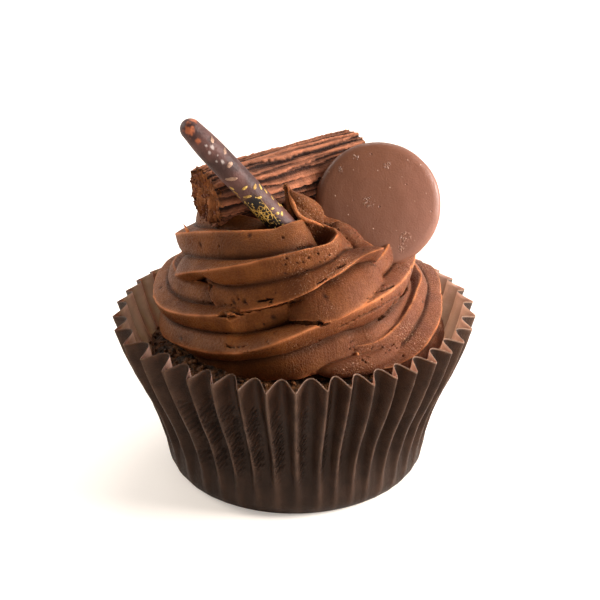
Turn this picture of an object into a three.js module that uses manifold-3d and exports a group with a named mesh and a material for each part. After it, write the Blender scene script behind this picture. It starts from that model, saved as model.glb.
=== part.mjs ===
// A chocolate cupcake in a fluted paper case, with piped frosting and three chocolate pieces on top.
// Millimetres, +Z up. The case stands on z = 0 with its axis on the Z axis; the front looks along -Y.
import * as THREE from "three";
import { mergeVertices } from "three/addons/utils/BufferGeometryUtils.js";
import Module from "manifold-3d";

const wasm = await Module();
wasm.setup();

// ---- driving sizes ----
const gap = 0.3; // room between two pieces that touch
const sliver = 0.03; // thinner than this, a cut's leftovers are dropped

const paper = {
  baseRadius: 25.6,
  rimRadius: 38.65,
  rimHeight: 35.1,
  wall: 0.55,
  folds: 40,
  foldDepth: 4, // crest to trough at the rim
  unevenness: 0.12, // share by which the folds differ in depth
  troughLift: 1.1, // a trough of the rim stands this much higher than a crest
};
// Radius of the fold crests at some heights between base and rim.
const caseFlare = [
  { up: 0, radius: paper.baseRadius },
  { up: 1, radius: 26.9 },
  { up: 3, radius: 27.9 },
  { up: 9, radius: 29.1 },
  { up: 17, radius: 31.5 },
  { up: 30.5, radius: 37.3 },
  { up: paper.rimHeight, radius: paper.rimRadius },
];

const crumb = {
  sideHeights: [2.5, 9, 17], // where the side follows the case
  footRadius: 22.6,
  shoulderHeight: 27.5,
  shoulderRadius: 31,
  shoulderRound: 1.6,
  crownRadius: 22,
  crownHeight: 32,
};

const rope = {
  ridges: 7, // points of the star nozzle
  valleyDepth: 0.27, // share of the rope's radius
  startsAt: -80, // degrees round the axis
  stationStep: 60,
  slice: 10.2, // degrees between two sections
  pieceOf: 255, // degrees of rope per closed piece, so that no piece meets itself
  lap: 1, // degrees by which a piece starts inside the one before it
  lapSize: 0.98, // share of the full section there
};
// The rope's centre line at every sixty degrees: where its turn is centred, the turn's radius, its
// height, the rope's own radius, and how far its ridges have twisted (degrees).
const ropeStations = [
  { x: 0, y: 0, out: 21, up: 33, thick: 2, twist: 10 },
  { x: 0, y: 0, out: 25, up: 33.2, thick: 7.2, twist: 21 },
  { x: 0, y: 0, out: 24.8, up: 35.7, thick: 7.7, twist: 23 },
  { x: 0, y: 0, out: 24.2, up: 36.9, thick: 7.9, twist: 16 },
  { x: 0, y: 0, out: 22.8, up: 37, thick: 8.1, twist: 12 },
  { x: 0, y: 0, out: 19.2, up: 37.2, thick: 9.6, twist: 35 },
  { x: 0, y: 0, out: 17.4, up: 38.7, thick: 11.4, twist: 66 },
  { x: 0, y: 0, out: 17, up: 41.8, thick: 10, twist: 72 },
  { x: 0, y: 0, out: 17.4, up: 44.2, thick: 9, twist: 65 },
  { x: 0, y: 0, out: 17, up: 46, thick: 9.5, twist: 52 },
  { x: 0, y: 0, out: 15, up: 47.7, thick: 10.6, twist: 62 },
  { x: 0, y: 0, out: 14, up: 48.4, thick: 10.8, twist: 116 },
  { x: 2, y: -1.3, out: 12.2, up: 49.3, thick: 9.9, twist: 160 },
  { x: 1.8, y: -6.2, out: 8.6, up: 48.5, thick: 9.3, twist: 189 },
  { x: 0.4, y: -8, out: 6, up: 51.2, thick: 6.6, twist: 221 },
  { x: 1, y: -7.2, out: 3.6, up: 57, thick: 4.8, twist: 257 },
  { x: 0.3, y: -6.4, out: 1.6, up: 61.2, thick: 2.7, twist: 302 },
  { x: -1.1, y: -4.9, out: 0.3, up: 65, thick: 0.5, twist: 350 },
];
const heart = { radius: 13, crownRadius: 9, bottom: 26, top: 50 }; // fills the turns' middle
const frostingRoom = { heights: [20, 30.5, paper.rimHeight], top: paper.rimHeight + 2 };

const log = {
  from: [-17.5, -3, 61.2],
  to: [13.9, 16.6, 63.1],
  radius: 6.3,
  grooves: 13,
  grooveDepth: 0.09, // share of the radius
  grooveSway: 0.5, // radians by which the grooves wander
  lumps: 0.03, // share of the radius
};
const disc = {
  centre: [17.7, 0.5, 58.4],
  radius: 13.1,
  lean: 24.2, // degrees from upright
  // half sections of the back and the front face, as distance from the axis and from the middle
  backFace: [[0, -1.8], [11.9, -1.8], [12.8, -1.2]],
  frontFace: [[12.8, 0.7], [11.9, 1.3], [8, 1.7], [0, 1.9]],
};
const stick = { tip: [-21.2, -8.5, 79.9], end: [-0.4, -8.5, 55], tipRadius: 2.15, endRadius: 2.6 };

// ---- helpers ----
const turnToUp = new THREE.Matrix4().makeRotationX(Math.PI / 2); // three.js turns shapes about Y

function solidOf(geometry) {
  const bare = geometry.clone();
  bare.deleteAttribute("normal");
  bare.deleteAttribute("uv");
  const merged = mergeVertices(bare, 1e-4);
  return new wasm.Manifold(
    new wasm.Mesh({
      numProp: 3,
      vertProperties: merged.attributes.position.array,
      triVerts: new Uint32Array(merged.index.array),
    }),
  );
}

function geometryOf(solid) {
  const mesh = solid.getMesh();
  const geometry = new THREE.BufferGeometry();
  geometry.setAttribute("position", new THREE.BufferAttribute(mesh.vertProperties, 3));
  geometry.setIndex(new THREE.BufferAttribute(mesh.triVerts, 1));
  geometry.computeVertexNormals();
  return geometry;
}

// The largest body of a solid, without loose scraps or slivers.
function mainBody(solid) {
  const bodies = solid.simplify(sliver).decompose();
  return bodies.reduce((best, body) => (body.volume() > best.volume() ? body : best));
}

function bend(geometry, place) {
  const spots = geometry.attributes.position;
  const spot = new THREE.Vector3();
  for (let i = 0; i < spots.count; i++) {
    spot.fromBufferAttribute(spots, i);
    place(spot);
    spots.setXYZ(i, spot.x, spot.y, spot.z);
  }
  return geometry;
}

// A turned solid about Z from [radius, height] pairs that run from the axis back to the axis.
function turned(profile, segments) {
  const points = profile.map(([radius, height]) => new THREE.Vector2(radius, height));
  return new THREE.LatheGeometry(points, segments).applyMatrix4(turnToUp);
}

// Moves a shape made round the Z axis so that its axis runs from one point to another.
function laidBetween(geometry, from, to) {
  const start = new THREE.Vector3(...from);
  const along = new THREE.Vector3(...to).sub(start).normalize();
  const turn = new THREE.Quaternion().setFromUnitVectors(new THREE.Vector3(0, 0, 1), along);
  return geometry.applyQuaternion(turn).translate(start.x, start.y, start.z);
}

// ---- paper case ----
const flareCurve = new THREE.SplineCurve(
  caseFlare.map(({ up, radius }) => new THREE.Vector2(radius, up)),
);

function crestRadius(up) {
  const rows = flareCurve.getPoints(120);
  const above = Math.max(1, rows.findIndex((row) => row.y >= up));
  const [low, high] = [rows[above - 1], rows[above]];
  return THREE.MathUtils.mapLinear(up, low.y, high.y, low.x, high.x);
}

function foldDepthAt(up) {
  return paper.foldDepth * Math.pow(THREE.MathUtils.clamp(up / paper.rimHeight, 0, 1), 0.75);
}

// 0 on the crest of a fold and 1 in its trough.
function foldShare(angle) {
  const turnOfFold = (angle * paper.folds) / (2 * Math.PI);
  return 2 * Math.abs(turnOfFold - Math.round(turnOfFold));
}

function foldStrength(angle) {
  const wander = 0.6 * Math.sin(5 * angle + 1) + 0.4 * Math.sin(11 * angle + 2);
  return 1 + paper.unevenness * wander;
}

// Largest radius at a height that stays clear of every trough of the case.
function roomInCase(up) {
  const deepest = foldDepthAt(up) * (1 + paper.unevenness);
  return crestRadius(up) - deepest - paper.wall - gap;
}

function makePaperCase() {
  const outside = caseFlare.slice(1).map(({ up }) => [crestRadius(up), up]);
  const inside = outside.map(([radius, up]) => [radius - paper.wall, up]).reverse();
  const profile = [
    [0, 0],
    [paper.baseRadius - 0.5, 0],
    [paper.baseRadius, paper.wall],
    ...outside,
    ...inside,
    [paper.baseRadius - 2 * paper.wall, paper.wall],
    [0, paper.wall],
  ];
  const geometry = turned(profile, 4 * paper.folds);
  return bend(geometry, (spot) => {
    const angle = Math.atan2(spot.y, spot.x);
    const share = foldShare(angle);
    const radius = Math.hypot(spot.x, spot.y);
    const pulled = radius - foldDepthAt(spot.z - paper.wall) * foldStrength(angle) * share;
    spot.x = pulled * Math.cos(angle);
    spot.y = pulled * Math.sin(angle);
    spot.z += (paper.troughLift * share * spot.z) / paper.rimHeight;
  });
}

// ---- cake ----
function cakeProfile(grow) {
  const sides = crumb.sideHeights.map((up) => [roomInCase(up) + grow, up]);
  const { shoulderHeight, shoulderRadius, shoulderRound, crownRadius, crownHeight } = crumb;
  return [
    [0, paper.wall + gap - grow],
    [crumb.footRadius, paper.wall + gap - grow],
    ...sides,
    [shoulderRadius + grow, shoulderHeight],
    [shoulderRadius - shoulderRound + grow, shoulderHeight + shoulderRound + grow],
    [crownRadius, crownHeight - 1 + grow],
    [0, crownHeight + grow],
  ];
}

function makeCake(grow) {
  return turned(cakeProfile(grow), 56);
}

// ---- chocolate pieces ----
function makeLog(grow) {
  const length = new THREE.Vector3(...log.from).distanceTo(new THREE.Vector3(...log.to));
  const bar = new THREE.CylinderGeometry(1, 1, length + 2 * grow, 6 * log.grooves, 6);
  bar.applyMatrix4(turnToUp).translate(0, 0, length / 2);
  bend(bar, (spot) => {
    const angle = Math.atan2(spot.y, spot.x);
    const share = spot.z / length;
    const sway = log.grooveSway * Math.sin(3 * share + 2 * angle);
    const groove = Math.abs(Math.sin((log.grooves * angle) / 2 + sway));
    const lump = log.lumps * (Math.sin(2 * angle + 4 * share) + 0.7 * Math.sin(5 * share));
    const skin = log.radius * (1 + lump - log.grooveDepth * groove) + grow;
    const radius = Math.hypot(spot.x, spot.y) * skin;
    spot.x = radius * Math.cos(angle);
    spot.y = radius * Math.sin(angle);
  });
  return laidBetween(bar, log.from, log.to);
}

function makeDisc(grow) {
  const widened = (distance) => (distance > 0 ? distance + grow : 0);
  const profile = [
    ...disc.backFace.map(([out, up]) => [widened(out), up - grow]),
    [disc.radius + grow, -0.2],
    ...disc.frontFace.map(([out, up]) => [widened(out), up + grow]),
  ];
  const tilt = new THREE.Matrix4().makeRotationX(THREE.MathUtils.degToRad(90 - disc.lean));
  return turned(profile, 56).applyMatrix4(tilt).translate(...disc.centre);
}

function makeStick(grow) {
  const length = new THREE.Vector3(...stick.tip).distanceTo(new THREE.Vector3(...stick.end));
  const { tipRadius, endRadius } = stick;
  const profile = [
    [0, -grow],
    [tipRadius * 0.55 + grow, 0.35 - grow],
    [tipRadius * 0.9 + grow, 1.1],
    [tipRadius + grow, 2.4],
    [endRadius + grow, length - 1.5],
    [endRadius * 0.8 + grow, length - 0.4],
    [0, length + grow],
  ];
  return laidBetween(turned(profile, 24), stick.tip, stick.end);
}

// ---- frosting ----
const turnCurve = new THREE.CatmullRomCurve3(
  ropeStations.map(({ x, y, out }) => new THREE.Vector3(x, y, out)), false, "catmullrom",
);
const sizeCurve = new THREE.CatmullRomCurve3(
  ropeStations.map(({ up, thick, twist }) => new THREE.Vector3(up, thick, twist)), false, "catmullrom",
);
const ropeEndsAt = rope.startsAt + rope.stationStep * (ropeStations.length - 1);

// Radius of the star section, 1 on a ridge.
function starRadius(angle) {
  return 1 - rope.valleyDepth * Math.abs(Math.sin((rope.ridges * angle) / 2));
}

// The stretch of rope between two angles, as one closed solid. It starts inside the stretch before.
function ropePiece(fromDegrees, toDegrees) {
  const slices = Math.round((toDegrees - fromDegrees) / rope.slice);
  const firstDegrees = fromDegrees - rope.lap;
  const piece = new THREE.CylinderGeometry(1, 1, 1, 3 * rope.ridges, slices);
  bend(piece, (spot) => {
    const degrees = THREE.MathUtils.lerp(firstDegrees, toDegrees, 0.5 - spot.y);
    const lapSize = degrees < fromDegrees ? rope.lapSize : 1;
    const share = Math.max(0, (degrees - rope.startsAt) / (ropeEndsAt - rope.startsAt));
    const centre = turnCurve.getPoint(share);
    const size = sizeCurve.getPoint(share);
    const around = Math.atan2(spot.x, spot.z);
    const reach = Math.hypot(spot.x, spot.z) * starRadius(around) * size.y * lapSize;
    const tilt = around + THREE.MathUtils.degToRad(size.z);
    const turn = THREE.MathUtils.degToRad(degrees);
    const out = centre.z + reach * Math.cos(tilt);
    spot.set(
      centre.x + out * Math.cos(turn),
      centre.y + out * Math.sin(turn),
      size.x + reach * Math.sin(tilt),
    );
  });
  return solidOf(piece);
}

// What the frosting keeps clear of outside: the case, up to a little above its rim.
function caseSurround() {
  const walls = frostingRoom.heights.map((up) => [roomInCase(up), up]);
  const profile = [
    ...walls,
    [roomInCase(paper.rimHeight), frostingRoom.top],
    [2 * paper.rimRadius, frostingRoom.top],
    [2 * paper.rimRadius, frostingRoom.heights[0]],
    walls[0],
  ];
  return solidOf(turned(profile.reverse(), 48));
}

function makeFrosting() {
  const pieces = [];
  for (let from = rope.startsAt; from < ropeEndsAt; from += rope.pieceOf) {
    pieces.push(ropePiece(from, Math.min(from + rope.pieceOf, ropeEndsAt)));
  }
  const heartProfile = [
    [0, heart.bottom],
    [heart.radius, heart.bottom],
    [heart.radius, heart.top - 4],
    [heart.crownRadius, heart.top],
    [0, heart.top],
  ];
  pieces.push(solidOf(turned(heartProfile, 24)));
  const swirl = wasm.Manifold.union(pieces);
  const neighbours = [makeCake(gap), makeLog(gap), makeDisc(gap), makeStick(gap)].map(solidOf);
  neighbours.push(caseSurround());
  return geometryOf(mainBody(neighbours.reduce((left, piece) => left.subtract(piece), swirl)));
}

// ---- the whole ----
const brown = (hex, roughness) =>
  new THREE.MeshStandardMaterial({ color: hex, roughness, metalness: 0 });

const cupcake = new THREE.Group();
function add(name, geometry, material) {
  const mesh = new THREE.Mesh(geometry, material);
  mesh.name = name;
  cupcake.add(mesh);
}
add("paper_case", makePaperCase(), brown(0x33241b, 0.7));
add("cake", makeCake(0), brown(0x3a2113, 0.9));
add("frosting", makeFrosting(), brown(0x65392a, 0.45));
add("ridged_log", makeLog(0), brown(0x804e3a, 0.6));
add("chocolate_disc", makeDisc(0), brown(0x875745, 0.4));
add("rolled_stick", makeStick(0), brown(0x4e2f29, 0.35));

export default cupcake;
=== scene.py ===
import math
import random

import bmesh
import bpy
from mathutils import Euler, Matrix, Vector, noise
from mathutils.bvhtree import BVHTree
from mathutils.kdtree import KDTree


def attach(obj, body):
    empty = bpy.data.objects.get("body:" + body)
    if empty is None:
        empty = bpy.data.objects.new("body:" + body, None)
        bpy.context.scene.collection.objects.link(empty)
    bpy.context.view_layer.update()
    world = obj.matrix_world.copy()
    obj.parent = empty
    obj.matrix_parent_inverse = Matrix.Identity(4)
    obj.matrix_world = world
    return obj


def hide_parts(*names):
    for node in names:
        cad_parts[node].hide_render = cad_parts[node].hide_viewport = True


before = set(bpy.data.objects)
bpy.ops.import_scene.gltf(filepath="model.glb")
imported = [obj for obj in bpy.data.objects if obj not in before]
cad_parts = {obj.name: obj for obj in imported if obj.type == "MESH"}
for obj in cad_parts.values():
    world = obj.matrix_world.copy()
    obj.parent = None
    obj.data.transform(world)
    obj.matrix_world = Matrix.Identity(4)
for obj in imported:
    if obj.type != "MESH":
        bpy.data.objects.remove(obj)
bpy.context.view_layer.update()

# Shapes are worked out in millimetres and scaled to metres as each piece is finished.
# Unevenness is given as (amount, size, seed), or (amount, size, octaves, seed) where it is rough.
mm = 0.001
fullTurn = 2 * math.pi
scene = bpy.context.scene


# small helpers for shapes
def mix(low, high, share):
    return low + (high - low) * share


def ease(low, high, value):
    share = min(1.0, max(0.0, (value - low) / (high - low)))
    return share * share * (3 - 2 * share)


def noisePlace(point, size, seed):
    return Vector(point) / size + Vector((seed * 7.31, seed * 3.17, seed * 5.77))


def wander(point, size, seed=0.0):  # smooth noise from about -1 to 1
    return noise.noise(noisePlace(point, size, seed))


def rough(point, size, octaves=4, seed=0.0):
    return noise.fractal(noisePlace(point, size, seed), 0.9, 2.1, octaves)


def wave(point, amount, size, seed):
    return amount * wander(point, size, seed)


def grit(point, amount, size, octaves, seed):
    return amount * rough(point, size, octaves, seed)


def onRing(radius, angle, height=0.0):
    return Vector((radius * math.cos(angle), radius * math.sin(angle), height))


def smoothRow(rows, where):
    # value of a smooth curve through (place, value) rows
    places = [row[0] for row in rows]
    last = len(rows) - 1
    if where <= places[0]:
        return rows[0][1]
    if where >= places[-1]:
        return rows[-1][1]
    i = max(k for k in range(last) if places[k] <= where)

    def slope(k):
        low, high = max(0, k - 1), min(last, k + 1)
        return (rows[high][1] - rows[low][1]) / (places[high] - places[low])

    width = places[i + 1] - places[i]
    t = (where - places[i]) / width
    return (
        (2 * t**3 - 3 * t**2 + 1) * rows[i][1]
        + (t**3 - 2 * t**2 + t) * width * slope(i)
        + (3 * t**2 - 2 * t**3) * rows[i + 1][1]
        + (t**3 - t**2) * width * slope(i + 1)
    )


def smoothLine(points):
    # a smooth line through points; the whole numbers are the points themselves
    columns = [[(k, value) for k, value in enumerate(column)] for column in zip(*points)]
    return lambda place: [smoothRow(column, place) for column in columns]


def treeOf(spots):
    tree = KDTree(len(spots))
    for i, spot in enumerate(spots):
        tree.insert(spot, i)
    tree.balance()
    return tree


def addLayers(bm, *names):
    for name in names:
        bm.verts.layers.float.new(name)
    return [bm.verts.layers.float[name] for name in names]


def faceOutwards(bm):
    bmesh.ops.recalc_face_normals(bm, faces=bm.faces)
    if bm.calc_volume(signed=True) < 0:
        bmesh.ops.reverse_faces(bm, faces=bm.faces)


def pushSkin(bm, amount, shareAt):
    # moves every vert along its normal, by its share of the amount in mm
    bm.normal_update()
    moves = [vert.normal * amount * shareAt(vert) for vert in bm.verts]
    for vert, move in zip(bm.verts, moves):
        vert.co += move


def spunPiece(profile, steps):
    # a closed solid turned about Z from (radius, height) pairs that start and end on the axis
    bm = bmesh.new()
    verts = [bm.verts.new((radius, 0, height)) for radius, height in profile]
    edges = [bm.edges.new(pair) for pair in zip(verts, verts[1:])]
    bmesh.ops.spin(
        bm, geom=verts + edges, axis=(0, 0, 1), cent=(0, 0, 0), angle=fullTurn, steps=steps,
        use_merge=True,
    )
    bmesh.ops.remove_doubles(bm, verts=bm.verts, dist=1e-4)
    faceOutwards(bm)
    return bm


def sweptBody(rows, rings=26, around=20):
    # a closed body with rounded ends along a smooth line of (x, y, z, radius) rows
    bm = spunPiece([(0, 0)] + [(1, k) for k in range(1, rings)] + [(0, rings)], around)
    lineAt = smoothLine(rows)
    for vert in bm.verts:
        share = vert.co.z / rings
        place = share * (len(rows) - 1)
        x, y, z, radius = lineAt(place)
        ahead = Vector(lineAt(place + 0.05)[:3]) - Vector(lineAt(place - 0.05)[:3])
        turn = Vector((0, 0, 1)).rotation_difference(ahead.normalized())
        radius *= math.sqrt(max(0.0, 1 - abs(2 * share - 1) ** 6))
        vert.co = turn @ Vector((vert.co.x * radius, vert.co.y * radius, 0)) + Vector((x, y, z))
    faceOutwards(bm)
    return bm


def finerProfile(profile, step):
    # the same outline with a point at least every step
    points = [profile[0]]
    for (r0, z0), (r1, z1) in zip(profile, profile[1:]):
        count = max(1, round(math.hypot(r1 - r0, z1 - z0) / step))
        points += [(mix(r0, r1, k / count), mix(z0, z1, k / count)) for k in range(1, count + 1)]
    return points


def anyTurn(draw):
    return Euler([draw.uniform(0, 6) for _ in range(3)]).to_matrix()


def addCrumb(bm, spot, turn, stretch, uneven, size):
    # a small lump with an uneven skin
    for vert in bmesh.ops.create_icosphere(bm, subdivisions=1, radius=1)["verts"]:
        grow = 1 + uneven * wander(vert.co + spot, size, 9)
        vert.co = turn @ (vert.co * stretch * grow) + spot


def wrapRound(bm, name, placeOf, heightOf, whole, early):
    # a UV map of place round and height, without a jump where the places start again
    uvLayer = bm.loops.layers.uv.new(name)
    for face in bm.faces:
        places = [placeOf(loop.vert) for loop in face.loops]
        wraps = max(places) - min(places) > whole / 2
        for loop, place in zip(face.loops, places):
            shift = whole if wraps and place < early else 0
            loop[uvLayer].uv = (place + shift, heightOf(loop.vert))


def layBetween(bm, start, end):
    # lays a shape made up the Z axis from start towards end
    start, end = Vector(start), Vector(end)
    turn = Vector((0, 0, 1)).rotation_difference((end - start).normalized())
    matrix = Matrix.Translation(start) @ turn.to_matrix().to_4x4()
    bmesh.ops.transform(bm, matrix=matrix, verts=bm.verts)


def lengthOf(start, end):
    return (Vector(end) - Vector(start)).length


def addPiece(name, bm, material, nodeName=None):
    bmesh.ops.scale(bm, vec=Vector((mm, mm, mm)), verts=bm.verts)
    for face in bm.faces:
        face.smooth = True
    mesh = bpy.data.meshes.new(name)
    bm.to_mesh(mesh)
    bm.free()
    mesh.materials.append(material)
    piece = bpy.data.objects.new(name, mesh)
    scene.collection.objects.link(piece)
    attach(piece, "root")
    if nodeName:
        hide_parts(nodeName)
    print(name, sum(len(face.vertices) - 2 for face in mesh.polygons), "triangles")
    return piece


def fused(parts):
    # one closed body from several overlapping closed ones
    pieces = []
    for bm in parts:
        mesh = bpy.data.meshes.new("part")
        bm.to_mesh(mesh)
        bm.free()
        pieces.append(bpy.data.objects.new("part", mesh))
        scene.collection.objects.link(pieces[-1])
    for other in pieces[1:]:
        join = pieces[0].modifiers.new("join", "BOOLEAN")
        join.operation = "UNION"
        join.solver = "MANIFOLD"
        join.object = other
    shown = pieces[0].evaluated_get(bpy.context.evaluated_depsgraph_get())
    bm = bmesh.new()
    bm.from_mesh(bpy.data.meshes.new_from_object(shown))
    for piece in pieces:
        bpy.data.objects.remove(piece)
    bmesh.ops.triangulate(bm, faces=[face for face in bm.faces if len(face.verts) > 4])
    return bm


# small helpers for materials
def addNode(tree, kind, settings=None, **inputs):
    # inputs are named, or i0, i1 and so on
    node = tree.nodes.new(kind)
    for key, value in (settings or {}).items():
        setattr(node, key, value)
    for key, value in inputs.items():
        counted = key[0] == "i" and key[1:].isdigit()
        socket = node.inputs[int(key[1:]) if counted else key.replace("_", " ")]
        if isinstance(value, bpy.types.NodeSocket):
            tree.links.new(value, socket)
        else:
            socket.default_value = value
    return node


def maths(tree, what, *values):
    inputs = {f"i{k}": value for k, value in enumerate(values)}
    return addNode(tree, "ShaderNodeMath", {"operation": what}, **inputs).outputs[0]


def times(tree, first, *others):
    for other in others:
        first = maths(tree, "MULTIPLY", first, other)
    return first


def spread(tree, value, fromLow, fromHigh, toLow=0.0, toHigh=1.0):
    node = addNode(
        tree, "ShaderNodeMapRange", {"interpolation_type": "SMOOTHSTEP"},
        Value=value, From_Min=fromLow, From_Max=fromHigh, To_Min=toLow, To_Max=toHigh,
    )
    return node.outputs[0]


def blendColour(tree, share, low, high):
    node = addNode(tree, "ShaderNodeMix", {"data_type": "RGBA"}, i0=share, i6=low, i7=high)
    return node.outputs[2]


def colour(*screen):  # screen red, green and blue, 0 to 255, as the colour a shader takes
    linear = [c / 3294.6 if c <= 10 else ((c / 255 + 0.055) / 1.055) ** 2.4 for c in screen]
    return (*linear, 1)


def split(tree, vector):
    return addNode(tree, "ShaderNodeSeparateXYZ", Vector=vector).outputs


def mapped(tree, name):  # the two numbers of a UV map
    return split(tree, addNode(tree, "ShaderNodeUVMap", {"uv_map": name}).outputs[0])


def layer(tree, name):
    return addNode(tree, "ShaderNodeAttribute", {"attribute_name": name}).outputs["Fac"]


def clouds(tree, place, scale, detail):
    return addNode(tree, "ShaderNodeTexNoise", Vector=place, Scale=scale, Detail=detail).outputs[0]


def paint(tree, look, first, *coats):
    # colours of a look laid over one another, each by its share
    tint = look[first]
    for name, share in coats:
        tint = blendColour(tree, share, tint, look[name])
    return tint


def bump(tree, distance, height, **under):
    node = addNode(tree, "ShaderNodeBump", Strength=1.0, Distance=distance, Height=height, **under)
    return node.outputs[0]


def newMaterial(name, **sockets):
    material = bpy.data.materials.new(name)
    material.use_nodes = True
    tree = material.node_tree
    skin = tree.nodes["Principled BSDF"]
    for key, value in sockets.items():
        skin.inputs[key.replace("_", " ")].default_value = value
    place = tree.nodes.new("ShaderNodeTexCoord").outputs["Object"]
    return material, tree, skin, place


def newGroup(name, inputs, outputs):
    group = bpy.data.node_groups.new(name, "ShaderNodeTree")
    sides = [(label, "INPUT", value) for label, value in inputs.items()]
    for label, side, value in sides + [(label, "OUTPUT", 0.0) for label in outputs]:
        kind = "NodeSocketVector" if value is None else "NodeSocketFloat"
        socket = group.interface.new_socket(name=label, in_out=side, socket_type=kind)
        if side == "INPUT" and value is not None:
            socket.default_value = value
    given, result = group.nodes.new("NodeGroupInput"), group.nodes.new("NodeGroupOutput")
    return group, given.outputs, result.inputs


def makeGrainGroup():
    # fine lumps and a broader mottling, both 0 to 1
    sockets = {"Place": None, "Fine Scale": 3000.0, "Broad Scale": 150.0}
    group, given, result = newGroup("surfaceGrain", sockets, ("Fine", "Broad"))
    fine = clouds(group, given["Place"], given["Fine Scale"], 4.0)
    broad = clouds(group, given["Place"], given["Broad Scale"], 5.0)
    group.links.new(spread(group, fine, 0.3, 0.7), result["Fine"])
    group.links.new(spread(group, broad, 0.35, 0.65), result["Broad"])
    return group


def makePitGroup():
    # round pits scattered unevenly: Pit is 1 in the middle of one
    sockets = {"Place": None, "Scale": 600.0, "Size": 0.25, "Share": 0.3}
    group, given, result = newGroup("scatteredPits", sockets, ("Pit",))
    cells = addNode(group, "ShaderNodeTexVoronoi", Vector=given["Place"], Scale=given["Scale"])
    shown = addNode(group, "ShaderNodeSeparateColor", i0=cells.outputs["Color"]).outputs[0]
    here = maths(group, "LESS_THAN", shown, given["Share"])
    pit = spread(group, cells.outputs["Distance"], given["Size"], 0.0)
    group.links.new(times(group, pit, here), result["Pit"])
    return group


grainGroup = makeGrainGroup()
pitGroup = makePitGroup()


def useGroup(tree, group, **inputs):
    return addNode(tree, "ShaderNodeGroup", {"node_tree": group}, **inputs).outputs


def pitsAt(tree, place, scale, size, share):
    return useGroup(tree, pitGroup, Place=place, Scale=scale, Size=size, Share=share)["Pit"]


def newSkin(name, look, **sockets):
    # a material with the grain of its look, and its roughness where the look gives one
    material, tree, skin, place = newMaterial(name, **sockets)
    fine, broad = look["grain"]
    grain = useGroup(tree, grainGroup, Place=place, Fine_Scale=fine, Broad_Scale=broad)
    if "roughness" in look:
        shine = spread(tree, grain["Fine"], 0.0, 1.0, *look["roughness"])
        tree.links.new(shine, skin.inputs["Roughness"])
    return material, tree, place, grain


def finished(material, tint, normal):
    tree = material.node_tree
    skin = tree.nodes["Principled BSDF"]
    tree.links.new(tint, skin.inputs["Base Color"])
    tree.links.new(normal, skin.inputs["Normal"])
    return material


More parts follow.
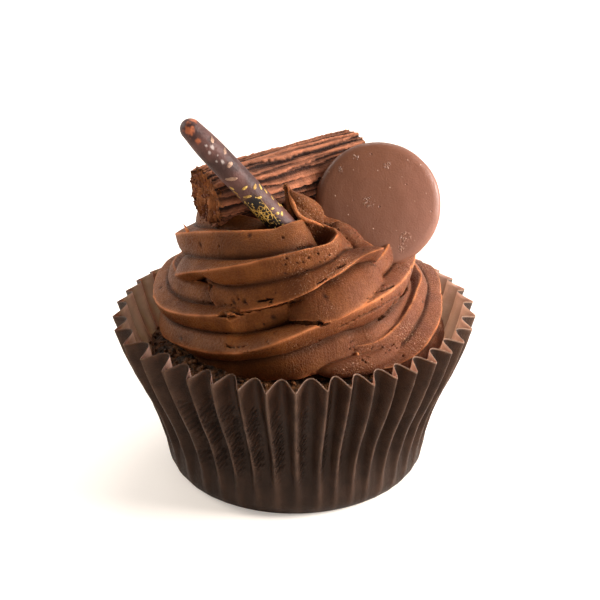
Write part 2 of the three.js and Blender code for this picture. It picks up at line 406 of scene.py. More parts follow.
# ---- frosting: one star-nozzle rope, wound up to a drifting peak ----
rope = {
    "ridges": 7,
    "valleyDepth": 0.27,  # share of the rope's radius
    "tipRound": 0.05,
    "faceBulge": 1.05,  # 1 gives flat faces between ridge and valley
    "startsAt": -80,  # degrees
    "stationStep": 60,
    "slice": 2,
    "pointsPerRidge": 18,
    "bunching": 0.3,  # brings the points closer to ridges and valleys
    "joinsAt": [100, 440, 780],  # all at the back
    "lap": 1,
    "lapSize": 0.98,
    "noiseDegrees": 9,  # that count as 1 mm along the rope
    "noiseRing": 2.2,  # mm, for the way round it
    "swell": (0.02, 2.4, 1),  # share of the radius
    "streaks": (0.05, 1, 3, 15),  # mm, along the rope
    "crack": 0.7,  # mm that the bottom of a valley is split open
    "crackNoise": (0.5, 1.1, 16),
    "crackWidth": 0.07,
    "ridgeFrom": 0.75,  # where a ridge begins between a valley, 0, and its own crest, 1
    "nibble": (0.13, 0.22, 3, 2),  # mm, along the ridges
    "tear": 0.3,  # mm that a torn stretch of ridge is lower
    "tearNoise": (1, 0.7, 12),
    "fullFrom": (7, 5),  # rope radius from which cracks and ridges are at their full size
    "skinLumps": 0.1,  # mm
    "skinLumpNoise": (4, 4, 5),  # size, octaves, seed
    # centre x, centre y, turn radius, height, rope radius, twist in degrees
    "stations": [
        (0, 0, 21, 33, 2, 10), (0, 0, 25, 33.2, 7.2, 21), (0, 0, 24.8, 35.7, 7.7, 23),
        (0, 0, 24.2, 36.9, 7.9, 16), (0, 0, 22.8, 37, 8.1, 12), (0, 0, 19.2, 37.2, 9.6, 35),
        (0, 0, 17.4, 38.7, 11.4, 66), (0, 0, 17, 41.8, 10, 72), (0, 0, 17.4, 44.2, 9, 65),
        (0, 0, 17, 46, 9.5, 52), (0, 0, 15, 47.7, 10.6, 62), (0, 0, 14, 48.4, 10.8, 116),
        (2, -1.3, 12.2, 49.3, 9.9, 160), (1.8, -6.2, 8.6, 48.5, 9.3, 189),
        (0.4, -8, 6, 51.2, 6.6, 221), (1, -7.2, 3.6, 57, 4.8, 257),
        (0.3, -6.4, 1.6, 61.2, 2.7, 302), (-1.1, -4.9, 0.3, 65, 0.5, 350),
    ],
    # how far a ridge stands off the plain star: (degrees, outwards, upwards in mm)
    "ridgeMoves": {
        0: [(-66, 0, 0), (-60, 1.7, 0), (-54, 1.4, -1.7), (-48, 1.1, -2.4), (-36, 1.5, -1.2),
            (-24, 0.1, -0.1), (-6, -0.9, 0.1), (6, -0.5, -0.1), (24, 1.6, 0.4), (33, 2.1, -0.7),
            (39, 0, 0), (118, 0, 0), (136, 0.9, 1.3), (148, 1.1, 1.6), (154, 1.2, 1.2),
            (160, 1, 0.6), (166, 0.5, 0.1), (180, 0, -0.1), (189, 0.4, -0.2), (204, 0.4, -0.7),
            (234, 0.1, -0.5), (240, 0, -0.7), (243, -1.9, -1.7), (248, -2.8, -2),
            (262, -2.8, -1.5), (280, -2, -0.9), (298, 0, 0), (840, 0, 0), (876, -1.4, 0),
            (892, -1.7, 0), (908, -1.5, 0), (924, -0.8, 0), (938, 0, 0)],
        1: [(-62, 0, 0), (-53, 0.7, -0.5), (-47, 0.7, -0.6), (-23, -1, 0.4), (-8, -1.3, 0),
            (7, 0, 0), (815, 0, 0), (844, -1.8, 0), (860, -2.6, 0), (892, -2.2, 0), (915, -1, 0),
            (930, 0, 0)],
        2: [(815, 0, 0), (844, -1.8, 0), (860, -2.5, 0), (892, -1.7, 0), (915, -0.7, 0),
            (930, 0, 0)],
        3: [(590, 0, 0), (604, -0.8, 0.8), (618, -0.2, 0.9), (624, 2.6, 1.7), (630, 4.4, 2.1),
            (638, 5.2, 1.4), (647, 4.8, 1.3), (658, 3.4, 1.8), (676, 1.2, 1.7), (692, 0.4, 0.3),
            (704, 0, 0)],
        4: [(558, 0, 0), (568, -2.4, 2.8), (576, -1.8, 4.4), (580, -0.2, 4.2), (583, 0.2, 2.6),
            (586, 0.2, 1.3), (590, 0, 0.4), (594, 0, -0.1), (600, 0, -0.6), (620, -0.2, -0.9),
            (632, 0.1, -0.1), (644, -1.2, 0.5), (653, -1.5, 1), (671, -2.3, 1.4),
            (682, -0.8, 1.7), (691, 0.9, 1.5), (697, 1.2, 0.7), (704, 0, -0.6), (713, -0.4, -1.2),
            (731, -0.8, -0.9), (746, -0.2, -0.2), (761, -0.1, -0.2), (785, 1.3, 0.8),
            (809, 0, 0.9), (824, -1.4, 1.4), (851, -0.8, 0.9), (890, -0.2, 0.2), (929, 0, 0)],
        5: [(205, 0, 0), (217, 0.9, -2), (226, 0.6, -1.8), (235, 0.1, -0.8), (253, 0, 0.5),
            (274, -0.2, 0.5), (286, -1.2, 0.8), (295, -1.5, 0.9), (301, -1.6, -0.1), (310, 0, 0),
            (590, 0, 0), (632, 0.1, -0.1), (647, 0.5, -0.4), (659, -1.2, -0.2), (668, -2.5, -0.9),
            (677, -2.9, -1.5), (692, -2.3, -1.8), (722, -0.2, -0.9), (761, 0.3, 0.6),
            (794, 1.1, 0.2), (818, 0, 0.4), (854, 0.4, -0.4), (872, 0.7, -0.4), (905, 0, 0)],
        6: [(200, 0, 0), (218, -0.4, 0.6), (245, -0.1, 0.3), (257, 0.2, 0.9), (266, -0.2, 1.5),
            (278, -2, 1.6), (299, -2.2, 1.8), (314, -1.7, 1.9), (341, -1.6, 0.9), (353, -1, 0.6),
            (371, 0, 0), (560, 0, 0), (605, 0, -0.5), (614, -0.1, -0.1), (620, -0.2, 0.2),
            (626, -0.9, 0.3), (633, -3.2, -0.4), (645, -7.4, -2.2), (660, -7.4, -4.6),
            (690, -5.6, -5.6), (730, -3.4, -4.4), (770, -1.2, -1.2), (800, 0, 0)],
    },
    # depth of the valley after a ridge where it isn't plain: (degrees, share of the radius)
    "valleyDepths": {
        3: [(596, 0.27), (625, 0.4), (650, 0.36), (690, 0.34), (720, 0.27)],
        4: [(560, 0.27), (600, 0.24), (640, 0.26), (670, 0.36), (700, 0.36), (730, 0.2),
            (790, 0.24), (850, 0.2)],
        5: [(205, 0.27), (230, 0.3), (300, 0.3), (330, 0.27), (560, 0.27), (612, 0.22),
            (628, 0.24), (650, 0.56), (740, 0.56), (790, 0.36), (830, 0.27)],
        6: [(180, 0.27), (210, 0.33), (250, 0.36), (266, 0.56), (285, 0.62), (305, 0.42),
            (330, 0.3), (350, 0.27)],
    },
    # where that valley lies on the way to the next ridge: (degrees, share)
    "valleyPlaces": {
        3: [(596, 0.5), (620, 0.78), (680, 0.78), (710, 0.5)],
        5: [(556, 0.48), (590, 0.3), (610, 0.16), (640, 0.2), (670, 0.5)],
    },
    # rounded lumps of frosting: (x, y, z, radius) along each
    "lumps": [
        [(5.8, -4, 55.6, 1.3), (4.5, -4.3, 57.4, 2.4), (3.3, -5, 59.3, 2.5),
         (1.8, -5.8, 61.4, 1.8), (0.2, -6.2, 63.1, 1), (-0.6, -6, 64.5, 0.35)],
        [(3.6, -7.4, 56.4, 1.6), (2.6, -7.3, 58.2, 1.4), (1.2, -7.1, 60.2, 1),
         (0.3, -6.8, 61.6, 0.7)],
        [(-0.3, -6.7, 57.6, 1), (-0.6, -6.4, 60.5, 0.8), (-1, -5.9, 63.8, 0.35)],
        [(4.5, -25.4, 32.8, 0.9), (8, -24.9, 33, 1.7), (11.8, -23.5, 33.1, 2.1),
         (15.4, -21.7, 33.1, 2.2), (18.6, -19.4, 33.8, 1.9), (21.5, -16.8, 35, 1.2)],
        [(14.6, -9.2, 51, 1.7), (12.3, -6.8, 52.8, 2.3), (10, -5.5, 54.3, 2.5),
         (7.6, -4.8, 55, 2.2)],
    ],
    # thin edges and points drawn out of the rope, in the same way
    "fins": [
        [(6.4, -9.1, 57.4, 0.3), (5.1, -9.1, 58, 0.42), (3.8, -9.1, 58.5, 0.45),
         (2.5, -8.8, 58.9, 0.45), (1.25, -8.2, 59.6, 0.45), (0.3, -7.5, 61.3, 0.45),
         (-0.4, -6.6, 63.3, 0.38), (-0.9, -5.6, 65.1, 0.16)],
        [(13.2, -23.9, 34.3, 0.05), (12.9, -23.1, 34.8, 0.25), (12.4, -21.8, 35.3, 0.5)],
        [(-21.2, -5.9, 54.9, 0.5), (-21.7, -6, 56.2, 0.3), (-22.4, -6, 57.4, 0.08)],
    ],
    # tears and crevices: half the width and the depth in mm, then points along them
    "tears": [
        (0.28, 1, [(-7.18, -21.81, 46.81), (-4, -22.58, 47.65)]),
        (0.24, 0.8, [(-13.48, -23.91, 38.16), (-12, -24.8, 38.5)]),
        (0.2, 0.6, [(-11.4, -25, 38.7), (-10.5, -25.3, 38.9)]),
        (0.24, 0.8, [(-10, -25.5, 39), (-9.24, -25.69, 39.19)]),
        (0.32, 0.9, [(16.49, -17.72, 46.61), (18.4, -16.2, 46.6), (20.3, -14.1, 46.5)]),
        (0.28, 1, [(8.26, -19.96, 52.89), (10.26, -18.82, 53.23)]),
        (0.22, 0.6, [(4.66, -22.53, 50.84), (6.45, -21.55, 51.24)]),
        (0.14, 0.3, [(-10.02, -27, 38.2), (-4.28, -28.24, 39.6)]),
        (0.55, 1.7, [(-14.8, -21.19, 43.58), (-11.9, -21.2, 43.4)]),
        (0.3, 0.8, [(-12, -21, 43.7), (-10.05, -20.69, 43.62)]),
        (0.32, 0.8, [(17, -17.1, 40.3), (18.7, -15.4, 41)]),
        (0.75, 1.8, [(18.7, -15.4, 41.1), (20, -14, 41.8), (21, -12.7, 42.3)]),
        (0.45, 1.2, [(21, -12.7, 42.4), (22.4, -7.6, 41.7), (23.7, -3.9, 41.4)]),
        (0.4, 0.5, [(6.5, -25.1, 43.3), (6.9, -24.9, 43.5)]),
        (0.18, 0.5, [(-9.99, -20.6, 46.2), (-9.18, -21.1, 46.2)]),
        (0.3, 0.8, [(-17.2, -13, 47), (-16.53, -15.16, 47.6), (-16.87, -15.3, 46.5),
            (-16.9, -14.6, 44.8)]),
        (0.2, 0.7, [(-13.39, -21.2, 44.3), (-10.65, -20.6, 43.9), (-7.67, -20.4, 44.3),
            (-4.66, -20.9, 45.1), (-1.68, -21, 45.9), (1.3, -22, 47)]),
        (0.5, 1.3, [(-1.34, -20.7, 41.7), (0.45, -22.9, 42.3), (2.42, -24.3, 42.7),
            (4.37, -25, 43), (6.1, -25.1, 43.1)]),
        (0.24, 0.8, [(9.14, -23.3, 41.7), (11.55, -22.2, 42.4), (13.97, -21, 43.1),
            (16.43, -19.3, 43.7), (18.98, -16.6, 44), (21.2, -13, 43.7)]),
        (0.35, 0.8, [(1, -17.1, 55.9), (2.62, -15.7, 55.7), (4.03, -13.3, 55)]),
    ],
    # middles of small groups of pits
    "pitGroups": [
        (-7.51, -21.72, 40.99), (-5.5, -21.71, 42.06), (-13.89, -18.31, 44.77),
        (-16.25, -15.5, 43.74), (-3.99, -22.14, 48.53), (-14.36, -20.74, 39.29),
        (-3.69, -25.1, 41.45), (-10.45, -25.17, 38.74), (8.54, -23.3, 41.08),
        (4.96, -23.75, 38.94), (4.36, -23.79, 37.64), (4.16, -19.67, 56.33), (1.19, -20.67, 54.03),
        (12.25, -7.43, 54.02), (11.09, -11.43, 54.35), (-4.61, -22.84, 46.49),
        (-12.23, -19.5, 45.5), (2.57, -20.3, 54.7), (11.59, -21.44, 37.06), (15.63, -20.72, 35.99),
        (0.4, -26.2, 38.87), (-17.74, -14.39, 43.26), (5.72, -19.43, 54.08), (7.31, -18.53, 54.96),
        (2.35, -20.41, 52.84), (-1.15, -20.86, 54.77), (11.91, -11.05, 53.75),
        (13.39, -14.26, 54.4), (-14.54, -13.81, 55.23), (-1.91, -16.01, 57.88),
        (-11.39, -19.42, 46.98), (-5.45, -27.56, 40.48), (14.31, -23.54, 34.06),
        (18.51, -19.76, 34.36), (19.76, -18.9, 35.27), (20.98, -19.01, 34.41),
        (22.14, -19.97, 33.52), (14.78, -20.13, 46.08), (17.25, -18.54, 46.21),
    ],
    "tearStep": 0.15,
    "tearSway": (1, 0.7, 30),
    "pitSpread": 0.4,
    "pitSizes": (0.16, 0.3),
    "pitDepth": 1.6,  # times its size
    "loosePits": 190,
    "loosePitSizes": (0.12, 0.26),
    "loosePitDepth": 1.4,
    "finerWithin": (1.7, 1.0),  # of a mark's size, then the margin in mm
    "finerMargin": 0.12,
    "markNoise": (0.45, 0.35, 31),
    "lip": 0.07,
}
ropeEndsAt = rope["startsAt"] + rope["stationStep"] * (len(rope["stations"]) - 1)
stationLine = smoothLine(rope["stations"])


def stationAt(degrees):
    return stationLine((degrees - rope["startsAt"]) / rope["stationStep"])


def ridgesAt(degrees):
    # for each ridge: how far it is moved out and up, and the depth and place of the valley after it
    found = []
    for ridge in range(rope["ridges"]):
        rows = rope["ridgeMoves"].get(ridge, [(0, 0, 0)])
        out = smoothRow([(row[0], row[1]) for row in rows], degrees)
        up = smoothRow([(row[0], row[2]) for row in rows], degrees)
        depths = rope["valleyDepths"].get(ridge, [(0, rope["valleyDepth"])])
        places = rope["valleyPlaces"].get(ridge, [(0, 0.5)])
        found.append((out, up, smoothRow(depths, degrees), smoothRow(places, degrees)))
    return found


def ropeSpot(degrees, ridgePlace, reach, station, ridges):
    # ridgePlace counts the ridges round the section: 2.5 is in the valley between ridges 2 and 3
    centreX, centreY, out, up, thick, twist = station
    ridge = int(ridgePlace)
    even = ridgePlace - ridge
    outA, upA, deep, valley = ridges[ridge % rope["ridges"]]
    outB, upB, _, _ = ridges[(ridge + 1) % rope["ridges"]]
    # the valley is halfway in even, and goes where it lies between its two ridges
    share = 2 * even * valley if even < 0.5 else valley + (2 * even - 1) * (1 - valley)
    around = (ridge + share) / rope["ridges"] * fullTurn
    crest = abs(2 * even - 1)  # 1 on a ridge, 0 in a valley
    tip = rope["tipRound"]
    hollow = 1 - math.hypot(crest, tip) ** rope["faceBulge"]
    hollow = math.hypot(hollow, tip) - tip
    ring = rope["noiseRing"]
    place = (degrees / rope["noiseDegrees"], math.cos(around) * ring, math.sin(around) * ring)
    size = thick * (1 - deep * hollow) * (1 + wave(place, *rope["swell"]))
    size += grit((ridgePlace * 5, degrees / 45, thick), *rope["streaks"])
    crackFull, ridgeFull = [min(1, thick / radius) for radius in rope["fullFrom"]]
    crack = rope["crack"] * (0.6 + wave(place, *rope["crackNoise"]))
    size -= crack * math.exp(-((crest / rope["crackWidth"]) ** 2)) * crackFull
    onRidge = max(0.0, (crest - rope["ridgeFrom"]) / (1 - rope["ridgeFrom"]))
    torn = rope["tear"] * ease(0.1, 0.5, wave(place, *rope["tearNoise"]))
    size += onRidge * (grit(place, *rope["nibble"]) - torn) * ridgeFull
    tilt = around + math.radians(twist)
    distance = out + reach * (size * math.cos(tilt) + mix(outA, outB, share))
    height = up + reach * (size * math.sin(tilt) + mix(upA, upB, share))
    turn = math.radians(degrees)
    x, y = centreX + distance * math.cos(turn), centreY + distance * math.sin(turn)
    return Vector((x, y, height))


def ropePiece(fromDegrees, toDegrees, ridgeSpots):
    bm = bmesh.new()
    count = rope["ridges"] * rope["pointsPerRidge"]
    bmesh.ops.create_cone(bm, cap_ends=True, segments=count, radius1=1, radius2=1, depth=1)
    sides = [edge for edge in bm.edges if abs(edge.verts[0].co.z - edge.verts[1].co.z) > 0.5]
    slices = round((toDegrees - fromDegrees) / rope["slice"])
    bmesh.ops.subdivide_edges(bm, edges=sides, cuts=slices - 1)
    bmesh.ops.poke(bm, faces=[face for face in bm.faces if len(face.verts) > 4])
    first = fromDegrees - rope["lap"]
    sections = {}
    for vert in bm.verts:
        degrees = round(mix(first, toDegrees, vert.co.z + 0.5), 4)
        if degrees not in sections:
            sections[degrees] = (stationAt(degrees), ridgesAt(degrees))
        even = (math.atan2(vert.co.y, vert.co.x) % fullTurn) / fullTurn * rope["ridges"]
        place = even - rope["bunching"] * math.sin(2 * fullTurn * even) / fullTurn
        reach = min(1, vert.co.xy.length) * (rope["lapSize"] if degrees < fromDegrees else 1)
        spot = ropeSpot(degrees, place, reach, *sections[degrees])
        ridgeSpots.append((spot, abs(2 * (place - int(place)) - 1), degrees, place))
        vert.co = spot
    faceOutwards(bm)
    return bm


def markSpots(bm):
    # places where the skin is torn or pitted: middle, reach and depth in mm
    draw = random.Random(8)
    spots = []
    for width, depth, points in rope["tears"]:
        lineAt = smoothLine(points)
        length = sum(lengthOf(a, b) for a, b in zip(points, points[1:]))
        steps = max(1, round(length / rope["tearStep"]))
        for k in range(steps + 1):
            spot = Vector(lineAt(k / steps * (len(points) - 1)))
            full = math.sin(math.pi * mix(0.12, 0.88, k / steps))
            sway = wave(spot, *rope["tearSway"])
            reach = width * (0.6 + 0.6 * full + 0.4 * sway)
            spots.append((spot + Vector((0, 0, 0.25 * sway)), reach, depth * (0.5 + 0.5 * full)))
    for middle in rope["pitGroups"]:
        for _ in range(draw.choice((1, 2, 2, 3))):
            away = Vector([draw.gauss(0, rope["pitSpread"]) for _ in range(3)])
            size = draw.uniform(*rope["pitSizes"])
            spots.append((Vector(middle) + away, size, size * rope["pitDepth"]))
    verts = bm.verts[:]
    for _ in range(rope["loosePits"]):
        size = draw.uniform(*rope["loosePitSizes"])
        spots.append((draw.choice(verts).co.copy(), size, size * rope["loosePitDepth"]))
    return spots


def finerNear(bm, tree, spots, grow):
    near = set()
    for face in bm.faces:
        _, i, away = tree.find(face.calc_center_median())
        if away < spots[i][1] * grow + rope["finerMargin"]:
            near.update(face.edges)
    bmesh.ops.subdivide_edges(bm, edges=[edge for edge in bm.edges if edge in near], cuts=1)
    bmesh.ops.triangulate(bm, faces=[face for face in bm.faces if len(face.verts) > 3])


def pressMarks(bm):
    # mark is 1 inside a tear or pit, where the material paints shade
    mark, = addLayers(bm, "mark")
    bmesh.ops.triangulate(bm, faces=bm.faces[:])
    skin = BVHTree.FromBMesh(bm)
    spots = [(skin.find_nearest(spot)[0], reach, depth) for spot, reach, depth in markSpots(bm)]
    tree = treeOf([spot[0] for spot in spots])
    for grow in rope["finerWithin"]:
        finerNear(bm, tree, spots, grow)

    def pressAt(vert):
        _, i, away = tree.find(vert.co)
        _, reach, depth = spots[i]
        share = away / reach * (1 + wave(vert.co, *rope["markNoise"]))
        inside = 1 - ease(0.35, 1, share)
        lip = ease(0.8, 1.1, share) * (1 - ease(1.1, 1.9, share))
        vert[mark] = inside
        return rope["lip"] * lip - depth * inside

    pushSkin(bm, 1, pressAt)


heart = {"profile": [(0, 26), (13, 26), (13, 46), (9, 50), (0, 50)], "steps": 48}


def makeFrosting(material):
    ridgeSpots = []
    joins = [rope["startsAt"], *rope["joinsAt"], ropeEndsAt]
    parts = [ropePiece(start, end, ridgeSpots) for start, end in zip(joins, joins[1:])]
    parts.append(spunPiece(heart["profile"], heart["steps"]))
    # lumps count as half a crest and fins as a whole one, for the painted crest highlight and
    # valley shade
    bodies = [(rows, 0.5) for rows in rope["lumps"]] + [(rows, 1) for rows in rope["fins"]]
    for rows, edge in bodies:
        parts.append(sweptBody(rows))
        for vert in parts[-1].verts:
            ridgeSpots.append((vert.co.copy(), edge, vert.co.z * 20, vert.co.x))
    bm = fused(parts)
    # ridge is 1 on the crests and 0 in the valleys; the frosting material paints highlight on the
    # crests and shade in the valleys by it
    layers = addLayers(bm, "ridge", "along", "across")
    tree = treeOf([spot[0] for spot in ridgeSpots])
    for vert in bm.verts:
        _, i, _ = tree.find(vert.co)
        for each, value in zip(layers, ridgeSpots[i][1:]):
            vert[each] = value
    pushSkin(bm, rope["skinLumps"], lambda vert: rough(vert.co, *rope["skinLumpNoise"]))
    pressMarks(bm)
    return addPiece("piped_frosting", bm, material, "frosting")


def makeFrostingMaterial():
    look = {
        "deep": colour(90, 47, 17),
        "light": colour(110, 61, 25),
        # painted sheen on the right side of the frosting
        "paintedSheen": colour(120, 72, 58),
        "paintedSheenFrom": (-0.008, 0.024, 0.0, 0.45),  # left to right, and how much there: painted sheen, pinker towards the right where the key lamp falls
        # painted highlight along the crests
        "ridge": colour(196, 120, 74),
        "crestHighlightPower": 20.0,
        # dark tone for fine grain specks, and painted shade down in the valleys
        "valley": colour(50, 24, 11),
        # painted shade inside tears and pits
        "holeShade": colour(34, 14, 6),
        # painted glints
        "paintedGlint": colour(214, 170, 140),
        "grain": (2900.0, 190.0),
        "pits": (1500.0, 0.34, 0.16),
        "roughness": (0.48, 0.72),
    }
    material, tree, place, grain = newSkin(
        "frosting", look, IOR=1.45, Specular_IOR_Level=0.2, Specular_Tint=(1.0, 0.74, 0.55, 1),
        Subsurface_Weight=0.22, Subsurface_Scale=0.0007, Subsurface_Radius=(1.0, 0.42, 0.2),
    )
    ridge = layer(tree, "ridge")
    side = split(tree, place)[0]
    # painted highlight on the crests: the ridge share to a high power, broken up by the mottling
    edge = maths(tree, "POWER", ridge, look["crestHighlightPower"])
    edge = times(tree, edge, spread(tree, grain["Broad"], 0.0, 1.0, 0.5, 0.95))
    # grainy patches on the right with small bright specks, painted glints where the key lamp falls
    patch = spread(tree, clouds(tree, place, 85.0, 2.0), 0.45, 0.6)
    grainy = times(tree, patch, spread(tree, side, -0.006, 0.006))
    specks = spread(tree, clouds(tree, place, 3300.0, 1.0), 0.62, 0.72)
    tint = paint(
        tree, look, "deep", ("light", grain["Broad"]),
        # painted sheen, growing towards the right
        ("paintedSheen", spread(tree, side, *look["paintedSheenFrom"])),
        # darker fine grain specks, then painted shade in the valleys
        ("valley", times(tree, grain["Fine"], 0.35)),
        ("valley", spread(tree, ridge, 0.3, 0.0, 0.0, 0.8)), ("ridge", edge),
        # painted shade inside tears and pits, and painted glints
        ("holeShade", layer(tree, "mark")), ("paintedGlint", times(tree, specks, grainy, 0.4)),
    )
    # fine lines drawn across the rope
    along, across = times(tree, layer(tree, "along"), 0.85), times(tree, layer(tree, "across"), 0.8)
    lines = addNode(
        tree, "ShaderNodeTexNoise", {"noise_dimensions": "2D"}, Scale=1.0, Detail=2.0,
        Vector=addNode(tree, "ShaderNodeCombineXYZ", X=along, Y=across).outputs[0],
    ).outputs[0]
    rise = times(tree, grain["Fine"], spread(tree, grainy, 0.0, 1.0, 0.8, 2.0))
    pits = times(tree, pitsAt(tree, place, *look["pits"]), spread(tree, grainy, 0.0, 1.0, 1.2, 3.0))
    fine = bump(tree, 0.00007, maths(tree, "SUBTRACT", rise, pits))
    drawn = bump(tree, 0.00006, lines, Normal=fine)
    return finished(material, tint, drawn)


# ---- paper case ----
case = {
    "foldAngles": [  # degrees round the case of the folds' outer edges; the widest gap is filled
        -154.7, -143.1, -132.3, -123.1, -114.8, -106.4, -98.2, -89.7, -80.7, -73.6, -66.2, -58.9,
        -51.2, -42.9, -34.7, -26, -17.4, -6.9, 3.7, 14.4, 23.6, 31.6,
        141.1, 147.5, 155.7, 163.7, 173, 183.7, 194.6,
    ],
    "folds": 40,
    "pointsPerFold": 16,
    "bunching": 0.35,  # brings the points closer together on the folds
    "rowStep": 0.75,
    "insets": (0.04, 0.1),
    "foldDepth": 4,
    "foldWidth": 9,  # degrees, at which a fold has this depth
    "bends": (0.1, 0.12, 0.32),  # roundness of a fold: low down, at the rim's left and its right
    "bendsChange": (14, 35),  # mm up
    "pleatsOpen": (18, 33),
    "lowDepth": 0.14,  # share of the depth at the bottom, and how far up it is full
    "lowUpTo": 15,
    "frontDepth": 0.62,
    "depthNoise": (0.15, 1.3, 3),
    "troughLift": 1.1,
    "wall": 0.1,
    "rimHeight": 35.1,
    "rimNoise": (0.35, 1.1, 7),
    "rimFrom": (28, 35.1),
    "flare": [
        (0, 25.4), (0.5, 26.1), (1, 26.7), (3, 27.8), (9, 29), (17, 31.4), (25, 34.95),
        (30.5, 37.1), (35.1, 38.55),
    ],
    "sway": (0.5, 1, 4),  # degrees, more towards the rim
    "crinkle": (0.05, 1.6, 3, 6),
    "lift": 0.035,
}


def caseFolds():
    folds = sorted(case["foldAngles"])
    wide = max(range(len(folds) - 1), key=lambda k: folds[k + 1] - folds[k])
    missing = case["folds"] - len(folds)
    gap = (folds[wide + 1] - folds[wide]) / (missing + 1)
    return sorted(folds + [folds[wide] + gap * (k + 1) for k in range(missing)])


def makeCase(material, inside):
    folds = caseFolds()
    rim, lift, perFold = case["rimHeight"], case["lift"], case["pointsPerFold"]
    bm = bmesh.new()
    foldPlace, height = addLayers(bm, "foldPlace", "height")
    count = case["folds"] * perFold
    ring = bmesh.ops.create_circle(bm, cap_ends=True, segments=count, radius=1)["verts"]
    order = sorted(ring, key=lambda vert: math.atan2(vert.co.y, vert.co.x) % fullTurn)
    for k, vert in enumerate(order):
        even = k / perFold
        vert[foldPlace] = even - case["bunching"] * math.sin(fullTurn * even) / fullTurn
    bottom = bm.faces[:]
    edges = bm.edges[:]
    rows = round(rim / case["rowStep"])
    for row in range(1, rows + 1):
        out = bmesh.ops.extrude_edge_only(bm, edges=edges)["geom"]
        for vert in [item for item in out if isinstance(item, bmesh.types.BMVert)]:
            vert[height] = row / rows * rim
        edges = [item for item in out if isinstance(item, bmesh.types.BMEdge)]
    for inset in case["insets"]:
        bmesh.ops.inset_region(bm, faces=bottom, thickness=inset, use_even_offset=False)
    bmesh.ops.poke(bm, faces=bottom)
    for vert in bm.verts:
        up = vert[height]
        place = vert[foldPlace]
        if vert.co.xy.length < 0.97:  # base
            baseRadius = case["flare"][0][1]
            vert.co = Vector((vert.co.x * baseRadius, vert.co.y * baseRadius, lift))
            continue
        index = int(place) % case["folds"]
        share = place - int(place)
        start = folds[index]
        end = folds[(index + 1) % case["folds"]] + (360 if index + 1 >= case["folds"] else 0)
        angle = math.radians(mix(start, end, share))
        lowBend, leftBend, rightBend = case["bends"]
        rimBend = mix(leftBend, rightBend, ease(-0.3, 0.7, math.cos(angle)))
        bend = mix(lowBend, rimBend, ease(*case["bendsChange"], up))
        sharp = math.hypot(abs(math.sin(math.pi * share)), bend) - bend
        sharp /= math.hypot(1, bend) - bend
        pleated = 1 - ease(*case["pleatsOpen"], up)
        deep = mix(sharp ** 0.9, ease(0.04, 0.92, sharp), 0.1 + 0.8 * pleated)
        wide = (end - start) / case["foldWidth"]
        depth = case["foldDepth"] * (up / rim) ** 0.7 * (0.55 + 0.45 * wide)
        depth *= mix(case["lowDepth"], 1, ease(0, case["lowUpTo"], up))
        depth *= mix(case["frontDepth"], 1, ease(0.1, 0.8, -math.sin(angle)))
        depth *= 1 + wave((start, up / 30, 0), *case["depthNoise"])
        radius = smoothRow(case["flare"], up) - depth * deep
        radius += grit((angle * 30, up, 2), *case["crinkle"]) * ease(3, 9, up)
        radius = min(radius, case["flare"][-1][1])
        turn = angle + math.radians(wave((angle * 6, up / 16, 1), *case["sway"])) * up / rim
        z = up + lift * (1 - ease(0, 3, up)) + case["troughLift"] * deep * up / rim
        z += ease(*case["rimFrom"], up) * wave((place, 0, 0), *case["rimNoise"])
        vert.co = onRing(radius, turn, z)
    bmesh.ops.recalc_face_normals(bm, faces=bm.faces)
    wrapRound(bm, "fold", lambda vert: vert[foldPlace], lambda vert: vert[height], case["folds"], 1)
    piece = addPiece("fluted_case", bm, material, "paper_case")
    wall = piece.modifiers.new("wall", "SOLIDIFY")
    wall.thickness = case["wall"] * mm
    wall.offset = -1
    piece.data.materials.append(inside)
    wall.material_offset = 1
    return piece


def troughShare(tree, across):  # 0 on the folds' outer edges, 1 in the troughs
    return maths(tree, "ABSOLUTE", maths(tree, "SINE", times(tree, across, math.pi)))


def makePaperInside():
    look = {
        # painted light: a shaded copy on the left and a lit copy on the right, each with grooves
        # and crests
        "shadedLeftGroove": colour(60, 40, 34),
        "shadedLeft": colour(136, 106, 95),
        "litRightGroove": colour(146, 106, 94),
        "litRight": colour(206, 160, 146),
        "litRightFrom": (-0.012, 0.024),  # metres, left to right: painted light, the right side lit through the paper and the left in shade
        "grain": (4200.0, 240.0),
        "roughness": (0.45, 0.65),
    }
    material, tree, place, grain = newSkin(
        "paperInside", look, IOR=1.4, Specular_IOR_Level=0.3, Specular_Tint=(1.0, 0.88, 0.8, 1),
        Subsurface_Weight=0.3, Subsurface_Scale=0.001, Subsurface_Radius=(1.0, 0.75, 0.6),
    )
    across, up, _ = mapped(tree, "fold")
    # lighter on the pleats nearest the eye and near the rim, darker in the grooves and lower down:
    # painted highlight and shade
    rise = times(
        tree, spread(tree, troughShare(tree, across), 0.35, 1.0),
        spread(tree, grain["Broad"], 0.0, 1.0, 0.6, 1.0), spread(tree, up, 24.0, 33.0, 0.45, 1.0),
    )
    shadedLeft = paint(tree, look, "shadedLeftGroove", ("shadedLeft", rise))
    litRight = paint(tree, look, "litRightGroove", ("litRight", rise))
    # painted light: the lit copy towards the right
    litRightShare = spread(tree, split(tree, place)[0], *look["litRightFrom"])
    fine = bump(tree, 0.00003, grain["Fine"])
    tint = blendColour(tree, litRightShare, shadedLeft, litRight)
    return finished(material, tint, fine)


